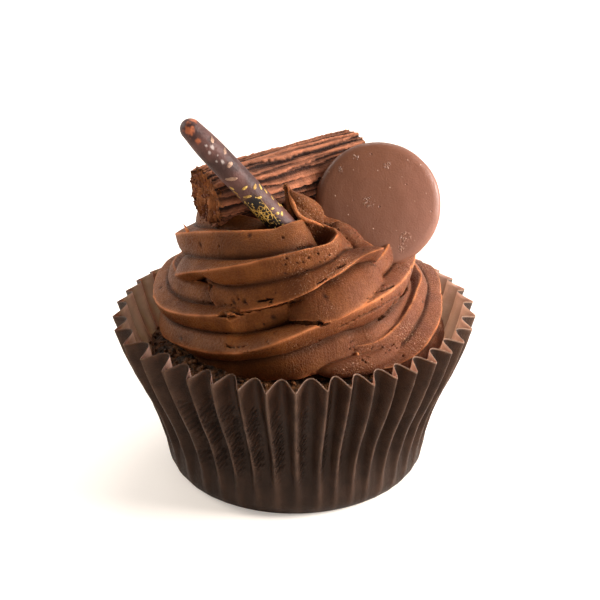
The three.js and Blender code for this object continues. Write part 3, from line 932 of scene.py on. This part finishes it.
def makePaperMaterial():
    look = {
        # painted shade in the troughs between the folds
        "troughShade": colour(28, 17, 11),
        "dark": colour(42, 27, 19),
        "light": colour(56, 38, 28),
        # painted highlight along the folds' outer edges
        "fold": colour(80, 59, 47),
        # painted highlight along the rim's edge, stronger towards the right
        "rim": colour(140, 108, 90),
        "rimFrom": (34.75, 35.05),
        "rimHighlightShares": (-0.02, 0.02, 0.1, 0.75),  # metres from left to right, and how much there: painted highlight, stronger towards the right
        # painted shade in the dents
        "dentShade": colour(20, 12, 8),
        "dentStep": 1.5,  # mm between the slanting dents on some folds
        "dentClimb": 3.6,
        "dentDepth": 0.0003,
        "grain": (3600.0, 300.0),
        "roughness": (0.42, 0.62),
    }
    material, tree, place, grain = newSkin(
        "darkPaper", look, IOR=1.4, Specular_IOR_Level=0.2, Specular_Tint=(1.0, 0.88, 0.8, 1),
        Subsurface_Weight=0.15, Subsurface_Scale=0.0008, Subsurface_Radius=(1.0, 0.8, 0.65),
    )
    across, up, _ = mapped(tree, "fold")
    share = troughShare(tree, across)
    # painted highlight along the folds' outer edges, fading lower down
    foldHighlight = times(
        tree, spread(tree, share, 0.34, 0.0), spread(tree, grain["Broad"], 0.0, 1.0, 0.3, 0.7),
        spread(tree, up, 3.0, 16.0, 0.1, 1.0),
    )
    # slanting dents on one side of the folds at the left front, with painted shade in them
    part = maths(tree, "FRACT", across)
    climb = maths(tree, "SUBTRACT", up, times(tree, part, look["dentClimb"]))
    waves = maths(tree, "SINE", times(tree, climb, fullTurn / look["dentStep"]))
    where = times(
        tree, spread(tree, part, 0.02, 0.1), spread(tree, part, 0.5, 0.3),
        spread(tree, across, 1.5, 2.5), spread(tree, across, 10.0, 8.0),
        spread(tree, up, 8.0, 14.0), spread(tree, up, 30.0, 25.0),
        spread(tree, clouds(tree, place, 220.0, 2.0), 0.35, 0.55),
    )
    # painted shade in the bottoms of the dents
    low = times(tree, spread(tree, waves, 0.1, -0.8), where, 0.6)
    # painted highlight along the rim, stronger towards the right
    rimHighlight = spread(tree, split(tree, place)[0], *look["rimHighlightShares"])
    rimHighlight = times(tree, spread(tree, up, *look["rimFrom"]), rimHighlight)
    tint = paint(
        tree, look, "dark", ("light", grain["Broad"]),
        # painted shade in the troughs and painted highlight along the folds' edges
        ("troughShade", spread(tree, share, 0.35, 0.9, 0.0, 0.55)), ("fold", foldHighlight),
        ("dentShade", low), ("rim", rimHighlight),
    )
    fine = bump(tree, 0.00004, grain["Fine"])
    dents = bump(tree, look["dentDepth"], times(tree, waves, where), Normal=fine)
    return finished(material, tint, dents)


# ---- cake ----
cake = {
    "profile": [
        (0, 0.9), (22.5, 0.9), (25.8, 2.5), (27.2, 9), (28.1, 17), (30.6, 26.6), (30.9, 27.6),
        (30.2, 28.9), (28.6, 29.8), (22, 31.2), (0, 32.1),
    ],
    "step": 0.8,
    "steps": 300,
    "crumble": 0.55,
    "lumps": (0.6, 2.2, 4, 8),
    "holes": 1.6,  # mm across
    "holeDepth": 1.2,
    "crumbleAbove": (22, 27),  # mm
    "crumbleOutside": (14, 20),
    "crumbs": 240,
    "crumbsOut": (25.5, 31.2),
    "crumbSizes": (0.25, 0.8),
    "crumbUneven": (0.35, 0.7),  # share, and size in mm
    "crumbTop": [(22, 31), (26, 30.5), (28.6, 29.8), (30.2, 28.9), (31.4, 27.4)],
}


def makeCake(material):
    bm = spunPiece(finerProfile(cake["profile"], cake["step"]), cake["steps"])

    def crumbleAt(vert):
        cell = noise.voronoi(vert.co / cake["holes"])[0][0]
        depth = grit(vert.co, *cake["lumps"]) - max(0, 0.5 - cell) * cake["holeDepth"]
        strength = ease(*cake["crumbleAbove"], vert.co.z)
        strength *= ease(*cake["crumbleOutside"], vert.co.xy.length)
        return strength * (depth - 0.1)

    pushSkin(bm, cake["crumble"], crumbleAt)
    return addPiece("cake_crumb_body", bm, material, "cake")


def makeCrumbs(material):
    draw = random.Random(11)
    bm = bmesh.new()
    for _ in range(cake["crumbs"]):
        angle = math.radians(draw.uniform(0, 360))
        out = draw.uniform(*cake["crumbsOut"])
        size = draw.uniform(*cake["crumbSizes"])
        spot = onRing(out, angle, smoothRow(cake["crumbTop"], out) + size * 0.25)
        turn = anyTurn(draw)
        wide, high = size * draw.uniform(0.6, 0.9), size * draw.uniform(0.5, 0.8)
        addCrumb(bm, spot, turn, Vector((size, wide, high)), *cake["crumbUneven"])
    return addPiece("cake_loose_crumbs", bm, material)


def makeCakeMaterial():
    look = {
        "dark": colour(26, 12, 5),
        "light": colour(108, 66, 34),
        "grain": (1500.0, 500.0),
        "pits": (900.0, 0.55, 0.5),
        "roughness": (0.38, 0.75),
    }
    material, tree, place, grain = newSkin(
        "chocolateCrumb", look, IOR=1.45, Specular_IOR_Level=0.28, Specular_Tint=(1.0, 0.85, 0.7, 1)
    )
    pits = pitsAt(tree, place, *look["pits"])
    # darker in the pits: painted shade
    tint = paint(tree, look, "dark", ("light", grain["Broad"]), ("dark", times(tree, pits, 0.7)))
    crumb = bump(tree, 0.0003, maths(tree, "SUBTRACT", grain["Fine"], times(tree, pits, 1.5)))
    return finished(material, tint, crumb)


# ---- ridged log ----
log = {
    "from": (-17.9, -3.2, 61.2),
    "to": (13.9, 16.6, 63.1),
    "radius": 6.3,
    "steps": 230,
    "bodyRows": 130,
    "endRows": 30,
    "plates": [(11, 0.85, 1), (24, 0.65, 2), (57, 0.18, 3)],  # how many, how high in mm, seed
    # how the plates sway: share of a plate, size round and mm along, added to the seed
    "sways": [(0.6, 1.6, 20, 0), (0.2, 4, 5, 4), (0.1, 9, 0.8, 5)],
    "cornerAngle": 2.93,  # the upper left corner stands out, by mm
    "corner": 1.2,
    "cornerFades": (1, 7),  # mm along
    # how much lower the skin is at the near end and the far one, and over how many mm
    "worn": (0.55, 2.4),
    "wornFar": (0.3, 1.6),
    "wornEdge": (1.1, 1, 21),
    "wornNoise": (1, 0.8, 3, 22),
    "endRelief": 2.2,
    "sheetLean": (0.6, 4, 23),
    "sheets": (1.5, 0.2),  # how many for 1 mm, across and along them
    "fineSheets": (3.7, 0.35),
    "chips": (1, 1.6, 3, 24),
    "shards": 90,
    "endShardSizes": (0.2, 0.5),
    "topShardSizes": (0.12, 0.32),
    "shardUneven": (0.4, 0.6),
}
logLength = lengthOf(log["from"], log["to"])


def logSkin(angle, along):
    # plates of folded chocolate that overlap round the log and run along it
    ringX, ringY = math.cos(angle), math.sin(angle)

    def swayAt(size, length, seed):
        return wander((ringX * size, ringY * size, along / length), 1, seed)

    height = 0.0
    for count, depth, seed in log["plates"]:
        place = count * angle / fullTurn
        for share, size, length, more in log["sways"]:
            place += share * swayAt(size, length, seed + more)
        step = place - math.floor(place)
        edge = step ** 1.2 * (1 - ease(0.92, 1, step))
        height += depth * (edge - 0.45) * (0.75 + 0.5 * swayAt(3, 8, seed + 8))
    return height


def sheetEdge(lean, high, across, along, seed):
    # highest on the edges of the sheets that stand on a broken end
    return 1 - abs(noise.noise(Vector((lean * across, high * along, seed)))) * 2


def makeLog(material):
    radius, rows = log["radius"], log["endRows"]
    (worn, wornOver), (wornFar, wornFarOver) = log["worn"], log["wornFar"]
    profile = [(radius * k / rows, 0) for k in range(rows)]
    profile += [(radius, logLength * k / log["bodyRows"]) for k in range(log["bodyRows"] + 1)]
    profile += [(radius * (1 - k / rows), logLength) for k in range(1, rows + 1)]
    bm = spunPiece(profile, log["steps"])
    skinHeight, onEnd = addLayers(bm, "plate", "end")
    for vert in bm.verts:
        flat = vert.co.xy.length
        angle = math.atan2(vert.co.y, vert.co.x)
        along = vert.co.z
        fromFar = logLength - along
        out = min(1.0, flat / radius)
        height = logSkin(angle, along)
        # the plate height also sets the log's painted shade and light
        vert[skinHeight] = height
        vert[onEnd] = max(1 - ease(0, 1.5, along), 1 - ease(0, 1, fromFar))
        broken = 1 - ease(0, wornOver, along + wave(onRing(3, angle), *log["wornEdge"]))
        broken *= 1 + grit((angle * 3, along, 3), *log["wornNoise"])
        skin = radius + height - worn * broken - wornFar * (1 - ease(0, wornFarOver, fromFar))
        corner = max(0.0, math.cos(angle - log["cornerAngle"])) ** 8
        skin += log["corner"] * (1 - ease(*log["cornerFades"], along)) * corner
        skin = mix(radius, skin, out**4)
        spot = vert.co.xy.normalized() * skin * out if flat > 1e-6 else Vector((0, 0))
        if min(along, fromFar) < 0.01:  # the broken ends, with sheets standing on edge
            near = along < 0.01
            high, side = -0.85 * spot.x - 0.53 * spot.y, 0.53 * spot.x - 0.85 * spot.y
            lean = side + wave((side, high, 5), *log["sheetLean"])
            fibre = sheetEdge(lean, high, *log["sheets"], 3 if near else 31)
            fine = sheetEdge(lean, high, *log["fineSheets"], 8)
            deep = grit((lean, high * 0.4, 9), *log["chips"])
            relief = log["endRelief"] * (0.75 - 0.5 * fibre - 0.25 * fine + 0.5 * deep)
            relief += 0.5 * out**3
            # on the ends this sets the painted shade in the chips and the painted light on the
            # sheets' edges
            vert[skinHeight] = 0.35 * fibre + 0.3 * fine - 0.6 * max(0, deep)
            along = relief if near else logLength - 0.6 * relief
        vert.co = Vector((spot.x, spot.y, along))
    layBetween(bm, log["from"], log["to"])
    return addPiece("ridged_log_body", bm, material, "ridged_log")


def makeShards(material):
    # splinters and crumbs on the broken end and along the top
    draw = random.Random(5)
    bm = bmesh.new()
    for k in range(log["shards"]):
        angle = draw.uniform(0, fullTurn)
        if k % 3 != 0:
            out = log["radius"] * math.sqrt(draw.uniform(0, 1)) * 0.95
            along = draw.uniform(-0.1, 0.5)
            size = draw.uniform(*log["endShardSizes"])
        else:
            along = draw.uniform(1, logLength - 1)
            size = draw.uniform(*log["topShardSizes"])
            out = log["radius"] + logSkin(angle, along) + size * 0.3
        turn = anyTurn(draw)
        stretch = Vector((size * draw.uniform(1, 2.2), size * 0.7, size * 0.5))
        addCrumb(bm, onRing(out, angle, along), turn, stretch, *log["shardUneven"])
    layBetween(bm, log["from"], log["to"])
    return addPiece("log_splinters", bm, material)


def makeLogMaterial():
    look = {
        # painted shade in the grooves and painted light on the raised plates, on the side and on
        # the broken ends
        "grooveShade": colour(34, 14, 8),
        "light": colour(180, 112, 80),
        "endGrooveShade": colour(34, 15, 7),
        "endLight": colour(152, 92, 52),
        "heights": (-0.36, 0.44),  # mm, from groove to light: painted shade in the grooves and painted light on the raised plates
        "grain": (3000.0, 400.0),
        "roughness": (0.45, 0.7),
    }
    material, tree, _, grain = newSkin(
        "foldedChocolate", look, IOR=1.45, Specular_IOR_Level=0.2,
        Specular_Tint=(1.0, 0.85, 0.74, 1),
    )
    # painted shade low on the plates, painted light high on them
    share = spread(tree, layer(tree, "plate"), *look["heights"])
    share = times(tree, share, spread(tree, grain["Broad"], 0.0, 1.0, 0.65, 1.0))
    side = paint(tree, look, "grooveShade", ("light", share))
    end = paint(tree, look, "endGrooveShade", ("endLight", share))
    tint = blendColour(tree, layer(tree, "end"), side, end)
    fine = bump(tree, 0.0001, grain["Fine"])
    return finished(material, tint, fine)


# ---- flat disc ----
disc = {
    "centre": (17.7, 0.5, 58.4),
    "lean": 24.2,
    "profile": [
        (0, -1.8), (11.2, -1.8), (12.2, -1.55), (12.8, -1), (13.05, -0.2), (12.95, 0.5), (12.5, 1),
        (11.6, 1.35), (9, 1.62), (5, 1.8), (0, 1.85),
    ],
    "step": 0.35,
    "steps": 200,
    "waves": 0.07,  # mm
    "waveNoise": (6, 3, 31),  # size, octaves, seed
    "smoothings": 2,
}


def makeDisc(material):
    bm = spunPiece(finerProfile(disc["profile"], disc["step"]), disc["steps"])
    for _ in range(disc["smoothings"]):
        bmesh.ops.smooth_vert(
            bm, verts=bm.verts, factor=0.5, use_axis_x=True, use_axis_y=True, use_axis_z=True
        )
    pushSkin(bm, disc["waves"], lambda vert: rough(vert.co, *disc["waveNoise"]))
    lean = Matrix.Rotation(math.radians(90 - disc["lean"]), 4, "X")
    bmesh.ops.transform(bm, matrix=Matrix.Translation(disc["centre"]) @ lean, verts=bm.verts)
    return addPiece("disc_of_chocolate", bm, material, "chocolate_disc")


def makeDiscMaterial():
    look = {
        # painted light: darker on the left, lighter towards the right
        "dark": colour(92, 54, 34),
        "middle": colour(108, 66, 46),
        "light": colour(126, 80, 62),
        "halfLitFrom": (0.005, 0.02),  # metres, left to right: painted light, lighter towards the right where the key lamp falls
        "fullLitFrom": (0.018, 0.031),
        "speck": colour(206, 170, 142),
        # painted shade in the pits
        "pit": colour(72, 40, 26),
        "rubs": [  # middle and radius of each rubbed patch, in mm
            (15.6, -1.0, 59.6, 1.6), (23.1, -3.8, 52.8, 1.5), (22.5, -4.5, 50.7, 1.2),
            (13.2, 3.2, 67.9, 0.8), (19.6, 2.3, 66.4, 1.0), (10.1, 2.2, 65.7, 0.9),
        ],
        "grain": (2600.0, 220.0),
        "specks": (800.0, 0.2, 0.24),
        "pits": (560.0, 0.16, 0.16),
        "roughness": (0.36, 0.5),
    }
    material, tree, place, grain = newSkin(
        "satinChocolate", look, IOR=1.45, Specular_IOR_Level=0.45
    )
    specks = pitsAt(tree, place, *look["specks"])
    pits = pitsAt(tree, place, *look["pits"])
    side = split(tree, place)[0]
    # painted light, growing towards the right
    halfLitShare, fullLitShare = [spread(tree, side, *look[name]) for name in ("halfLitFrom", "fullLitFrom")]
    patch = 0.0
    for *middle, radius in look["rubs"]:
        away = addNode(tree, "ShaderNodeVectorMath", {"operation": "DISTANCE"}, i0=place)
        away.inputs[1].default_value = Vector(middle) * mm
        inside = spread(tree, away.outputs["Value"], radius * mm, 0.4 * radius * mm)
        patch = maths(tree, "MAXIMUM", patch, inside)
    stipple = spread(tree, clouds(tree, place, 2100.0, 2.0), 0.48, 0.64)
    rubbed = times(tree, patch, stipple)
    tint = paint(
        tree, look, "dark", ("middle", halfLitShare), ("light", fullLitShare),
        ("dark", times(tree, grain["Broad"], 0.16)), ("speck", times(tree, specks, 0.45)),
        # painted shade in the pits
        ("speck", times(tree, rubbed, 0.15)), ("pit", times(tree, pits, 0.7)),
    )
    height = maths(tree, "ADD", times(tree, grain["Fine"], 0.25), specks)
    height = maths(tree, "ADD", height, times(tree, rubbed, 2.0))
    height = maths(tree, "SUBTRACT", height, times(tree, pits, 2.0))
    return finished(material, tint, bump(tree, 0.00007, height))


# ---- thin stick ----
stick = {
    "tip": (-21.2, -8.5, 79.8),
    "end": (0.2, -8.5, 55),
    "tipRadius": 2.15,
    "radius": 2.62,
    "roundOff": 2.3,
    "capRows": 18,
    "rows": 140,
    "steps": 110,
    "unevenness": (0.012, 5, 3, 41),  # share of the radius
    # raised marks: mm from the tip, degrees round, length, width, tilt in degrees; whether pale
    "marks": [
        (12.2, -122, 1.65, 0.95, 2, 1), (14.5, -80, 2.78, 0.8, -33, 1),
        (6.3, -145, 1.6, 0.9, 52, 1), (9.7, -152, 1.6, 0.8, 32, 1),
        (16.2, -46, 1.2, 0.65, -58, 0), (17.7, -98, 1.3, 0.6, -8, 0),
        (19.0, -137, 1.3, 0.7, 22, 0), (20.0, -160, 1.4, 0.6, 52, 0),
        (21.4, -168, 1.2, 0.6, 62, 0), (23.4, -168, 1.2, 0.5, 62, 0),
        (25.4, -170, 1.0, 0.5, 62, 0), (17.4, -43, 1.2, 0.6, -68, 0),
        (19.4, -79, 1.8, 0.6, -28, 0), (21.2, -117, 1.0, 0.5, -28, 0),
        (18.5, -40, 1.0, 0.4, -78, 0), (24.7, -124, 0.8, 0.5, -28, 0),
        (26.1, -126, 0.8, 0.6, -48, 0), (26.9, -140, 1.2, 0.6, 32, 0),
        (24.7, -108, 6.2, 0.13, 84, 0), (24.8, -70, 4.4, 0.12, 85, 0),
        (21.3, -47, 3.8, 0.12, 86, 0),
    ],
    "markHeights": (0.06, 0.03),  # mm, gold and pale
    "markNoise": (0.25, 0.7, 42),
    "markCuts": 2,
    "netFrom": 19.6,
    "netSides": (-112, -28),
    # scattered marks: how many, mm from the tip, how strongly towards the end (1 is even),
    # degrees round, length, width, tilt
    "scattered": [
        (70, 19.6, 0.8, (-112, -28), (0.25, 0.7), (0.1, 0.24), (-90, 90)),
        (34, 5, 0.6, (-15, 175), (0.9, 1.6), (0.4, 0.8), (-60, 60)),
    ],
    "paleWithin": 15,  # mm from the tip
    "stainNoise": (0.6, 0.5, 44),
    # stains on the skin: mm from the tip, degrees round, size in mm
    "copper": [(0.3, -119, 0.9), (1.8, -92, 1), (4.4, -89, 0.6), (0.9, -166, 0.9), (3, 60, 1)],
    "bloom": [
        (7.6, -94, 0.28), (7.3, -120, 0.42), (10.8, -107, 0.36), (9.9, -88, 0.2),
        (6.2, -104, 0.25), (9.2, -112, 0.16),
    ],
}
stickLength = lengthOf(stick["tip"], stick["end"])


def stickRadius(along):
    return mix(stick["tipRadius"], stick["radius"], ease(0, 9, along))


def stainAt(spot, stains):
    strongest = 0.0
    for along, degrees, size in stains:
        away = (spot - onRing(stickRadius(along), math.radians(degrees), along)).length
        share = away / size * (1 + wave(spot, *stick["stainNoise"]))
        strongest = max(strongest, 1 - ease(0.5, 1.2, share))
    return strongest


def makeStick(material):
    cap, rows = stick["roundOff"], stick["rows"]
    profile = []
    for k in range(stick["capRows"] + 1):
        angle = math.radians(90 * k / stick["capRows"])
        profile.append((stick["tipRadius"] * math.sin(angle), cap * (1 - math.cos(angle))))
    grow = stick["tipRadius"] - stickRadius(cap)
    for along in [mix(cap, stickLength - 0.5, k / rows) for k in range(1, rows + 1)]:
        profile.append((stickRadius(along) + grow * (1 - ease(cap, cap + 3, along)), along))
    profile += [(stick["radius"] - 0.5, stickLength), (0, stickLength)]
    bm = spunPiece(profile, stick["steps"])
    copper, bloom = addLayers(bm, "copper", "bloom")
    for vert in bm.verts:
        vert[copper] = stainAt(vert.co, stick["copper"])
        vert[bloom] = stainAt(vert.co, stick["bloom"])
        vert.co.xy *= 1 + grit(vert.co, *stick["unevenness"])

    def turnOf(vert):
        return math.atan2(vert.co.y, vert.co.x) / fullTurn

    wrapRound(bm, "wrap", turnOf, lambda vert: vert.co.z, 1, 0)
    layBetween(bm, stick["tip"], stick["end"])
    return addPiece("rolled_stick_body", bm, material, "rolled_stick")


def addMark(bm, paleLayer, along, degrees, longSize, wideSize, tilt, pale):
    turn = Matrix.Rotation(math.radians(tilt), 3, "Z")
    radius = stickRadius(along)
    angle = math.radians(degrees)
    out, side = onRing(1, angle), Vector((-math.sin(angle), math.cos(angle), 0))
    high = stick["markHeights"][pale]
    made = bmesh.ops.create_icosphere(bm, subdivisions=stick["markCuts"], radius=1)
    for vert in made["verts"]:
        ragged = 1 + wave(vert.co + Vector((along, degrees, 0)), *stick["markNoise"])
        x, y, z = vert.co
        flat = turn @ Vector((x * longSize / 2 * ragged, y * wideSize / 2 * ragged, z * high))
        around = flat.x / radius
        spot = out * math.cos(around) + side * math.sin(around)
        vert.co = spot * (radius + flat.z) + Vector((0, 0, along + flat.y))
        vert[paleLayer] = pale


def makeMarks(material):
    # small raised ovals, closer together in the net at the lower end
    draw = random.Random(3)
    bm = bmesh.new()
    pale, = addLayers(bm, "pale")
    for row in stick["marks"]:
        addMark(bm, pale, *row)
    for count, start, power, *spans in stick["scattered"]:
        for _ in range(count):
            along = mix(start, stickLength - 1, draw.random() ** power)
            values = [draw.uniform(*span) for span in spans]
            addMark(bm, pale, along, *values, int(along < stick["paleWithin"]))
    layBetween(bm, stick["tip"], stick["end"])
    return addPiece("stick_gold_marks", bm, material)


def makeStickMaterial():
    look = {
        "dark": colour(56, 32, 27),
        "light": colour(86, 54, 47),
        "gold": colour(190, 146, 62),
        "copper": colour(190, 102, 58),
        "bloom": colour(206, 190, 182),
        "stain": 0.55,
        "black": colour(16, 9, 6),
        "netScale": 1200.0,
        "netLine": (0.08, 0.04),
        "grain": (2200.0, 260.0),
    }
    material, tree, place, grain = newSkin(
        "darkStick", look, IOR=1.5, Specular_IOR_Level=0.25, Roughness=0.5
    )
    around, along, _ = mapped(tree, "wrap")
    low, high = [degrees / 360 for degrees in stick["netSides"]]
    net = times(
        tree, spread(tree, around, low - 0.02, low + 0.02),
        spread(tree, around, high + 0.05, high - 0.02),
        spread(tree, along, stick["netFrom"] - 0.8, stick["netFrom"] + 1.6),
    )
    cells = addNode(
        tree, "ShaderNodeTexVoronoi", {"feature": "DISTANCE_TO_EDGE"},
        Vector=place, Scale=look["netScale"], Randomness=1.0,
    ).outputs["Distance"]
    line = spread(tree, cells, *look["netLine"])
    line = times(tree, line, spread(tree, grain["Broad"], 0.35, 0.75), net)
    stains = [(name, times(tree, layer(tree, name), look["stain"])) for name in ("copper", "bloom")]
    light = ("light", grain["Broad"])
    tint = paint(tree, look, "dark", light, ("black", net), ("gold", line), *stains)
    return finished(material, tint, bump(tree, 0.00004, grain["Fine"]))


def makeGoldMaterial():
    look = {
        "gold": (colour(132, 92, 36), colour(206, 168, 84)),
        "faint": (colour(116, 84, 66), colour(156, 122, 98)),
        "grain": (4000.0, 1100.0),
    }
    material, tree, _, grain = newSkin(
        "goldMarks", look, Metallic=0.2, Specular_IOR_Level=0.4, Roughness=0.45
    )
    gold, faint = [blendColour(tree, grain["Broad"], *look[name]) for name in ("gold", "faint")]
    tint = blendColour(tree, layer(tree, "pale"), gold, faint)
    return finished(material, tint, bump(tree, 0.00003, grain["Fine"]))


# ---- room, lights and camera ----
room = {
    "floorSize": 3,  # metres each way
    "floorDark": colour(234, 224, 214),
    "floorTone": colour(246, 238, 230),
    "floorGlow": 0.33,
    "skyWay": (0.45, 0.85),  # how much of x and y in the way that the sky grows lighter
    "skyFrom": (-0.3, 1.0),
    "skyLight": (0.2, 1.3),  # in front and behind
    # where, what it looks at, size in m, watts, colour
    "lamps": [
        ((0.42, -0.08, 0.21), (0, 0, 0.05), 0.22, 5.2, (1.0, 0.98, 0.96)),
        ((-0.6, 0.2, 0.35), (0, 0, 0.05), 0.4, 4.0, (1.0, 0.96, 0.9)),
        ((0.1, 0.4, 0.8), (0, 0, 0.05), 0.4, 3.0, (1.0, 0.99, 0.97)),
        ((0.32, -0.68, 0.1), (0, 0, 0.04), 0.5, 2.5, (1.0, 0.96, 0.92)),
    ],
    "lens": 92.6,
    "cameraSpot": (0.0013, -0.299, 0.172),
    "pitch": 24.27,
    "roll": -0.7,
}


def addToScene(name, data):
    thing = bpy.data.objects.new(name, data)
    scene.collection.objects.link(thing)
    return thing


def isSeen(tree):
    return tree.nodes.new("ShaderNodeLightPath").outputs["Is Camera Ray"]


def makeFloor():
    bm = bmesh.new()
    bmesh.ops.create_grid(bm, x_segments=1, y_segments=1, size=room["floorSize"])
    mesh = bpy.data.meshes.new("table_top")
    bm.to_mesh(mesh)
    bm.free()
    floor = addToScene("table_top", mesh)
    material, tree, skin, place = newMaterial("paleTop", Roughness=0.6)
    cloud = clouds(tree, place, 14.0, 3.0)
    tint = blendColour(tree, cloud, room["floorDark"], room["floorTone"])
    tree.links.new(tint, skin.inputs["Base Color"])
    skin.inputs["Emission Color"].default_value = room["floorTone"]
    glow = times(tree, isSeen(tree), room["floorGlow"])
    tree.links.new(glow, skin.inputs["Emission Strength"])
    mesh.materials.append(material)


def makeSky():
    # white where the camera sees it, and otherwise dim in front and bright behind
    scene.world = bpy.data.worlds.new("whiteRoom")
    scene.world.use_nodes = True
    tree = scene.world.node_tree
    sky = tree.nodes["Background"]
    way = split(tree, tree.nodes.new("ShaderNodeTexCoord").outputs["Generated"])
    right, back = [times(tree, way[k], share) for k, share in enumerate(room["skyWay"])]
    behind = maths(tree, "ADD", back, right)
    glow = spread(tree, behind, *room["skyFrom"], *room["skyLight"])
    strength = addNode(
        tree, "ShaderNodeMix", {"data_type": "FLOAT"}, i0=isSeen(tree), i2=glow, i3=1.0
    ).outputs[0]
    tree.links.new(strength, sky.inputs["Strength"])
    sky.inputs["Color"].default_value = (1, 1, 1, 1)


def makeLamps():
    for k, (spot, target, size, watts, tone) in enumerate(room["lamps"]):
        lamp = bpy.data.lights.new(f"softbox_{k}", "AREA")
        lamp.size = size
        lamp.energy = watts
        lamp.color = tone
        holder = addToScene(f"softbox_{k}", lamp)
        holder.location = spot
        way = Vector(target) - Vector(spot)
        holder.rotation_euler = way.to_track_quat("-Z", "Y").to_euler()


def makeCamera():
    data = bpy.data.cameras.new("camera")
    data.lens = room["lens"]
    data.sensor_width = 36
    data.clip_start, data.clip_end = 0.01, 20
    camera = addToScene("camera", data)
    camera.location = room["cameraSpot"]
    turn = Matrix.Rotation(math.radians(90 - room["pitch"]), 3, "X")
    turn @= Matrix.Rotation(math.radians(room["roll"]), 3, "Z")
    camera.rotation_euler = turn.to_euler()
    scene.camera = camera


makeCamera()
makeFloor()
makeSky()
makeLamps()
print("room ready")
makeFrosting(makeFrostingMaterial())
makeCase(makePaperMaterial(), makePaperInside())
cakeMaterial = makeCakeMaterial()
makeCake(cakeMaterial)
makeCrumbs(cakeMaterial)
logMaterial = makeLogMaterial()
makeLog(logMaterial)
makeShards(logMaterial)
makeDisc(makeDiscMaterial())
makeStick(makeStickMaterial())
makeMarks(makeGoldMaterial())
scene.view_settings.view_transform = "Standard"
print("pieces ready")
